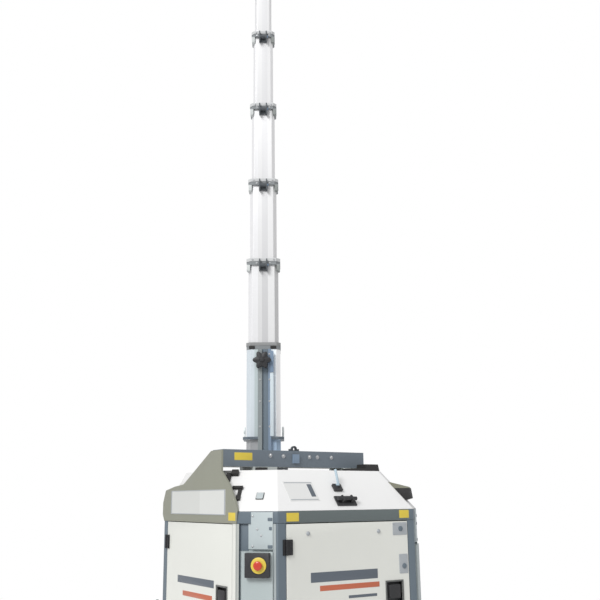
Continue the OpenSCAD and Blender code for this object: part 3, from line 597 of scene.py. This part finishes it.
# Painted highlight: a band of the black filler cover at the front right is painted olive grey for the light glancing
# off its top
rubber.over(rubber.x.step(0.30, 0.001) * rubber.z.band(1.4365, 1.480, 0.0005) * (1 - rubber.y.step(-0.30, 0.001)),
            (0.20, 0.20, 0.15))
rounded("rubber_fittings", "rubber_parts", 0.003, "chassis", rubber)
lever_black = Paint("lever_black")
rod = lever_black.z.step(1.4495, 0.002) * lever_black.x.band(-0.017, 0.005, 0.0005)
lever_black.finish(Base_Color=lever_black.mix(rod, lever_black.mix(lever_black.noise(5, 3), (0.018, 0.018, 0.020),
                                                                   (0.034, 0.034, 0.036)), (0.42, 0.53, 0.60)),
                   Roughness=0.40 + lever_black.noise(30, 3) * 0.14,
                   Normal=lever_black.bump(lever_black.noise(900, 2), 0.0002))
rounded("mast_lever", "lever_base", 0.003, "chassis", lever_black)
vent_grey = powder_coat("vent_grey", (0.48, 0.53, 0.54), shine=0.4, clouds=0.03)
piece("vent_pad", moved(slab(0.036, 0.040, 0.0030, 0.004, 0.0015), on_slope(0, -0.003, 0.35, 0.004, True)),
      vent_grey, "chassis")


# ---------------------------------------------------------------------------------------------
# Mast bearings: cast flange on the hood and the footstep under the mast; engine in the cabinet.
cast = powder_coat("cast_grey", (0.10, 0.11, 0.12), shine=0.55, dust=0.3, clouds=0.15)
dress(cast, "mast_bearings")
engine_coat = powder_coat("engine_coat", (0.07, 0.085, 0.09), shine=0.5, dust=0.5, clouds=0.2)
dress(engine_coat, "engine_block")
ring_bolts = [moved(bolt(0.007), (np.eye(3), np.array([-0.087 + 0.157 * math.cos(a), 0.140 + 0.157 * math.sin(a), 1.544])))
              for a in np.arange(8) * math.pi / 4 + 0.3]
piece("bearing_bolts", joined(ring_bolts), zinc, "chassis")
facing_front = spot((1, 0, 0), (0, -1, 0), (0, 0, 0))[0]
belt_guard = turned([(0.125, -0.001), (0.125, 0.014), (0.118, 0.020), (0.060, 0.022), (0.0005, 0.022)], 48)
oil_filter = turned([(0.040, -0.001), (0.040, 0.050), (0.036, 0.056), (0.0005, 0.058)], 32)
rocker_cover = slab(0.300, 0.130, 0.040, 0.020, 0.008, low=-0.001)
air_filter = turned([(0.062, -0.001), (0.062, 0.075), (0.056, 0.083), (0.0005, 0.086)], 40)
dressing = [moved(belt_guard, (facing_front, np.array([-0.170, -0.480, 0.470]))),
            moved(oil_filter, (facing_front, np.array([0.060, -0.480, 0.330]))),
            moved(slab(0.190, 0.230, 0.030, 0.010, 0.004, low=-0.001), (facing_front, np.array([0.200, -0.480, 0.560]))),
            moved(rocker_cover, (np.eye(3), np.array([-0.120, -0.330, 0.760]))),
            moved(air_filter, (np.eye(3), np.array([0.190, -0.330, 0.760])))]
piece("engine_fittings", joined(dressing), engine_coat, "chassis")


# ---------------------------------------------------------------------------------------------
# Stabilisers: square pull-out arms with jack tubes, and plated inner legs with foot plates.
corners = ("front_left", "front_right", "back_right", "back_left")
for i, place in enumerate(corners):
    rounded("arm_" + place, f"arm_{place}_tube", 0.003, "arm_" + place, post_coat)
    dress(zinc, "leg_" + place)
    rim = [moved(slab(w, h, 0.007, 0.002, 0.001, low=-0.001), on_corner(i, x, z)) for x, z, w, h in
           ((0, 0.134 + 0.0365, 0.086, 0.010), (0, 0.134 - 0.0365, 0.086, 0.010), (-0.038, 0.134, 0.010, 0.065),
            (0.038, 0.134, 0.010, 0.065))]
    piece(f"sleeve_rim_{place}", joined(rim), skid_coat, "chassis")
    cap = turned([(0.020, -0.001), (0.020, 0.004), (0.017, 0.006), (0.0145, 0.0065)], 24)
    top = on_corner(i, 0, 0, 0.054)[1]
    piece(f"jack_cap_{place}", moved(cap, (np.eye(3), top + [0, 0, 0.769])), zinc, "arm_" + place)


# ---------------------------------------------------------------------------------------------
# Mast: six nested square sections of drawn and anodised aluminium with flat corner facets. The
# lowest stands on a round tube that turns in the hood. Cast guide collars close the others.
mast_x, mast_y, mast_turn = -0.087, 0.140, math.radians(-32)
collar_tops = [2.312 + 0.536 * k for k in range(6)]
section_w = [0.205 - 0.019 * k for k in range(6)]


def on_mast(x, y, z):
    """Spot on the mast's own axes: x to its right, y from its front to its back, facing forward."""
    side, outward = about(mast_turn, 1, 0), about(mast_turn, 0, -1)
    at = np.array([mast_x, mast_y]) + side * x - outward * y
    return spot((*side, 0), (*outward, 0), (*at, z))


def own_axes(paint):
    """The mast's own x and y on a paint: the point less the axis, turned back by the mast's angle."""
    dx, dy = paint.x - mast_x, paint.y - mast_y
    return (dx * math.cos(mast_turn) + dy * math.sin(mast_turn),
            dy * math.cos(mast_turn) - dx * math.sin(mast_turn))


def anodised(name, colour, width, bands, facet, metal=0.15):
    """Extruded aluminium: fine drawn lines along Z, bands of other tones down the front, which are painted light and
    shade, and a tone of painted light and shade on the facet at the front's right end, where x - y comes to 0.88 of
    the width."""
    paint = Paint(name)
    own_x, own_y = own_axes(paint)
    lines = paint.noise(260, 3, (1, 1, 0.004))
    haze = paint.noise(3.0, 3, (1, 1, 0.3))
    tone = paint.mix(lines * 0.6 + haze * 0.4, tuple(c * 0.94 for c in colour),
                     tuple(min(0.97, c * 1.04) for c in colour))
    for low, high, band_colour in bands:
        tone = paint.mix(own_x.band(low, high, 0.0008) * (1 - own_y.step(0.001 - width / 2, 0.001)), tone,
                         band_colour)
    tone = paint.mix((own_x - own_y).step(0.88 * width - 0.002, 0.001), tone, (facet, facet, facet))
    return paint.finish(Base_Color=tone, Metallic=metal, Roughness=0.36 + (lines - 0.5) * 0.2,
                        Normal=paint.bump(lines, 0.0002))


# On the lowest section the band right of the duct, 0.047 to 0.079 across, is painted lighter to offset the shadow the
# duct casts on it: painted light
base_silver = anodised("base_silver", (0.65, 0.71, 0.75), section_w[0],
                       [(-0.103, -0.088, (0.63, 0.66, 0.66)), (-0.0535, -0.033, (0.52, 0.59, 0.60)),
                        (0.047, 0.079, (0.80, 0.86, 0.90))], 0.90)
own_x, own_y = own_axes(base_silver)
base_silver.over(base_silver.z.band(1.7265, 1.7415, 0.0005) * (1 - own_y.step(-0.1035, 0.001))
                 + base_silver.z.band(1.7265, 1.7415, 0.0005) * abs(own_x).step(0.1035, 0.001),
                 (0.14, 0.17, 0.20))
foot = (1 - base_silver.z.step(1.7255, 0.0005)) * (1 - own_y.step(-0.075, 0.004))
base_silver.over(foot, (0.40, 0.41, 0.42)).over(foot * own_x.step(0.030, 0.001), (0.40, 0.53, 0.68))
rounded("mast_base", "mast_base_tube", 0.0025, "turning_base", base_silver)

# The strip down the middle of each section's front is painted shade, lighter on the higher sections, with half-tone
# bands on either side; the right corner facet's tone is painted light and shade too
groove_shade_tone = (None, 0.575, 0.66, 0.70, 0.72, 0.74)
facet_light_shade = (None, 0.58, 0.74, 0.79, 0.88, 0.88)
for k in range(1, 6):
    tone, white = groove_shade_tone[k], 0.80
    section = anodised(f"section_{k}_silver", (white, white, white * 1.01), section_w[k],
                       [(-0.033, -0.008, (0.5 * (tone + white),) * 3), (-0.008, 0.029, (tone, tone, tone * 1.01)),
                        (0.029, section_w[k] * 0.38, (0.3 * tone + 0.7 * white,) * 3)], facet_light_shade[k])
    rounded(f"mast_{k}", f"mast_{k}_tube", 0.002, f"section_{k}", section)


def collar_paint(name, top, width, upper, lower):
    """Cast collar, lighter on its upper lip than below it, its left ear painted light and its right ear painted shade,
    with its dark pulley block.
    """
    paint = Paint(name)
    own_x, own_y = own_axes(paint)
    grain = paint.noise(30, 4)
    low = 1 - paint.z.step(top - 0.0215, 0.0008)
    hung = 1 - paint.z.step(top - 0.0440, 0.0008)
    tone = paint.mix(low, (upper, upper * 1.02, upper * 1.02), (lower, lower * 1.07, lower * 1.10))
    # Ears below the collar: the right one is painted shade and the left one painted light
    tone = paint.mix(hung * own_x.step(0.030, 0.002), tone, (0.27, 0.29, 0.28))
    tone = paint.mix(hung * (1 - own_x.step(-0.032, 0.002)), tone, (0.66, 0.69, 0.68))
    block = own_x.band(-0.0275, 0.0275, 0.0005) * (1 - own_y.step(-width / 2, 0.0005))
    inside = (hung + (1 - own_y.step(-width / 2 - 0.0145, 0.0005))).step(0.5, 0.1)
    tone = paint.mix(block * inside, tone, (0.075, 0.085, 0.095))
    tone = paint.mix(grain.step(0.55, 0.4) * 0.25, tone, (0.30, 0.31, 0.31))
    return paint.finish(Base_Color=tone, Roughness=0.44 + grain * 0.16, Normal=paint.bump(paint.noise(350, 3), 0.0004))


rounded("mast_base_collar", "base_collar", 0.0015, "turning_base",
        collar_paint("base_collar_coat", collar_tops[0], section_w[0], 0.28, 0.27))
pads = [moved(slab(0.036, 0.019, 0.0040, 0.003, 0.0015), on_mast(x, -section_w[0] / 2 - 0.001, 2.2805))
        for x in (-0.070, 0.061)]
piece("collar_pads", joined(pads), rubber, "turning_base")
sheave_blue = powder_coat("sheave_blue", (0.19, 0.27, 0.38), shine=0.35, dust=0.0)
for k in range(1, 5):
    top, front = collar_tops[k], section_w[k] / 2
    rounded(f"mast_{k}_collar", f"collar_{k}", 0.0015, f"section_{k}",
            collar_paint(f"collar_{k}_coat", top, section_w[k], 0.60, 0.27))
    pin = moved(turned([(0.0085, 0), (0.0085, 0.006), (0.0070, 0.008), (0.0005, 0.0085)], 20),
                spot((0, 0, 1), (*about(mast_turn, 1, 0), 0), on_mast(0.0255, -front - 0.021, top - 0.048)[1]))
    piece(f"sheave_pin_{k}", pin, sheave_blue, f"section_{k}")
    heads = [moved(bolt(0.0048), on_mast(x, -front - 0.0130, top - 0.011)) for x in (-front * 0.72, front * 0.72)]
    heads += [moved(bolt(0.0048), on_mast(x, -front - 0.0110, top - 0.032)) for x in (-0.040, 0.040)]
    piece(f"collar_bolts_{k}", joined(heads), zinc, f"section_{k}")


# ---------------------------------------------------------------------------------------------
# Fittings of the turning section: folded cable duct up its front, black star knob that locks the
# turn, plated eye handles, and the blue stop plate beside the knob.
duct_coat = powder_coat("duct_coat", (0.160, 0.205, 0.245), dust=0.0)
own_x, own_y = own_axes(duct_coat)
# The duct's left wall is painted lighter than its floor: painted light on its lit side. Its right wall is bluer
duct_coat.over(1 - own_x.step(-0.0080, 0.0008), (0.255, 0.285, 0.29)).over(own_x.step(0.0285, 0.0008), (0.205, 0.275, 0.37))
knob_zone = (1 - own_y.step(-0.1285, 0.0004)) * duct_coat.z.step(2.10, 0.001)
# The knob's zone is black. The eye handles, past 0.098 to either side, are painted near white: painted light that
# keeps them pale in the shadow they stand in
duct_coat.over(knob_zone, (0.016, 0.016, 0.018)).over(abs(own_x).step(0.098, 0.001), (0.86, 0.89, 0.87))
dress(duct_coat, "mast_fittings")


def star(reach, dip, lobes, thick, turn=0.0):
    """Flat grip whose edge runs as reach - dip (1 - cos(lobes (a - turn))) / 2 over the angle a."""
    angle = np.linspace(0, 2 * math.pi, 72, endpoint=False)
    edge = reach - dip * (1 - np.cos(lobes * (angle - turn))) / 2
    rings = [(1.0, 0.0), (1.0, thick * 0.7), (0.96, thick * 0.9), (0.88, thick), (0.02, thick)]
    points = np.concatenate([np.stack([edge * k * np.cos(angle), edge * k * np.sin(angle), np.full(72, z)], -1)
                             for k, z in rings])
    last = (len(rings) - 1) * 72
    return points, strip_faces(len(rings), 72) + [tuple(reversed(range(72))), tuple(range(last, last + 72))]


knob_place = on_mast(-0.008, -0.1400, 2.196)
hub = turned([(0.0150, 0), (0.0150, 0.024), (0.0120, 0.027), (0.0005, 0.028)], 24)
piece("knob_grip", joined([moved(star(0.056, 0.017, 6, 0.0195), knob_place), moved(hub, knob_place)]), black_plastic,
      "turning_base")
duct_pale = powder_coat("duct_pale", (0.62, 0.70, 0.74), shine=0.35, dust=0.0)
piece("duct_flange", moved(slab(0.021, 0.378, 0.0020, 0.002, 0.0008, low=-0.0005), on_mast(0.0510, -0.1265, 1.932)),
      duct_pale, "turning_base")
piece("stop_plate", moved(slab(0.021, 0.130, 0.0030, 0.003, 0.001, low=-0.0005), on_mast(0.0510, -0.1265, 2.190)), sheave_blue,
      "turning_base")
duct_bolts = [moved(bolt(0.0045), on_mast(x, -0.1265, z)) for x in (-0.0205, 0.038) for z in (1.80, 1.95, 2.08, 2.235)]
flange_bolts = [moved(bolt(0.0055), (np.array([[1, 0, 0], [0, 1, 0], [0, 0, 1]]), on_mast(x, y, 1.7410)[1]))
                for x in (-0.112, 0.112) for y in (-0.060, 0.060)]
piece("base_bolts", joined(duct_bolts + flange_bolts), zinc, "turning_base")


# ---------------------------------------------------------------------------------------------
# Lamp frame and four LED floodlights: cast bodies with fins behind, and lens fields in front.
rounded("lamp_frame", "lamp_bar", 0.003, "section_5", powder_coat(
    "lamp_frame_coat", (0.42, 0.44, 0.46), dust=0.0))
lamp_coat = powder_coat("lamp_coat", (0.09, 0.095, 0.10), shine=0.4, dust=0.0)
lamp_xs, pivot_z, lamp_front = (-0.435, -0.245, 0.245, 0.435), 4.912, -0.038
led_lens = Paint("led_lens")
led_lens.finish(Base_Color=led_lens.mix(led_lens.noise(80, 2), (0.72, 0.74, 0.72), (0.84, 0.86, 0.84)),
                Roughness=0.08 + led_lens.noise(40, 2) * 0.05, Coat_Weight=0.6)
board = powder_coat("led_board", (0.55, 0.56, 0.55), shine=0.3, dust=0.0)
dome = turned([(0.0085, 0), (0.0085, 0.0015), (0.0070, 0.0035), (0.0040, 0.0048), (0.0006, 0.0052)], 10)
for k, x in enumerate(lamp_xs):
    body = f"flood_{k + 1}"
    rounded(f"lamp_{k + 1}", f"lamp_{k + 1}_casting", 0.002, body, lamp_coat)
    piece(f"lamp_{k + 1}_board", moved(slab(0.138, 0.208, 0.0012, 0.004, 0.0004), on_mast(x, lamp_front + 0.005, pivot_z)),
          board, body)
    lenses = [moved(dome, on_mast(x + dx, lamp_front + 0.004, pivot_z + dz))
              for dx in np.linspace(-0.055, 0.055, 6) for dz in np.linspace(-0.090, 0.090, 9)]
    piece(f"lamp_{k + 1}_lenses", joined(lenses), led_lens, body)


bar_middle, bar_end = 5.067, 0.525
mast_side = about(mast_turn, 1, 0)
for k, x in enumerate(lamp_xs):
    body, clamps = f"flood_{k + 1}", []
    for s in (-1, 1):
        axes = spot((0, 0, 1), (*(mast_side * s), 0), on_mast(x + s * 0.090, 0, pivot_z)[1])
        clamps.append(moved(joined([turned([(0.013, -0.001), (0.013, 0.001)], 20), turned([(0.009, 0), (0.009, 0.003)], 6)]),
                            axes))
    corners_at = [(x + dx, pivot_z + dz) for dx in (-0.074, 0.074) for dz in (-0.109, 0.109)]
    clamps += [moved(screw(0.0040), on_mast(at_x, lamp_front, at_z)) for at_x, at_z in corners_at]
    piece(f"lamp_{k + 1}_fasteners", joined(clamps), zinc, body)
caps = []
for s in (-1, 1):
    axes = spot((0, 0, 1), (*(mast_side * s), 0), on_mast(s * bar_end, 0, bar_middle)[1])
    caps.append(moved(slab(0.046, 0.046, 0.003, 0.004, 0.0015, low=-0.001), axes))
piece("bar_caps", joined(caps), black_plastic, "section_5")
head_bolts = [moved(bolt(0.0055), (np.eye(3), on_mast(x, y, 4.998)[1])) for x in (-0.043, 0.043) for y in (-0.043, 0.043)]
piece("head_bolts", joined(head_bolts), zinc, "section_5")


# ---------------------------------------------------------------------------------------------
# Floor of the studio, a round pale sheet under the tower, outside the picture.
floor_paint = Paint("pale_floor")
floor_paint.finish(Base_Color=floor_paint.mix(floor_paint.noise(0.8, 3), (0.80, 0.80, 0.80), (0.84, 0.84, 0.835)),
                   Roughness=0.75 + floor_paint.noise(30, 2) * 0.1)
rim = np.linspace(0, 2 * math.pi, 96, endpoint=False)
floor_mesh = bpy.data.meshes.new("studio_floor")
floor_mesh.from_pydata(np.stack([6.5 * np.cos(rim), 6.5 * np.sin(rim), np.zeros(96)], -1).tolist(), [],
                       [tuple(range(96))])
floor_mesh.materials.append(floor_paint.material)
floor = bpy.data.objects.new("studio_floor", floor_mesh)
bpy.context.scene.collection.objects.link(floor)

bpy.context.view_layer.update()
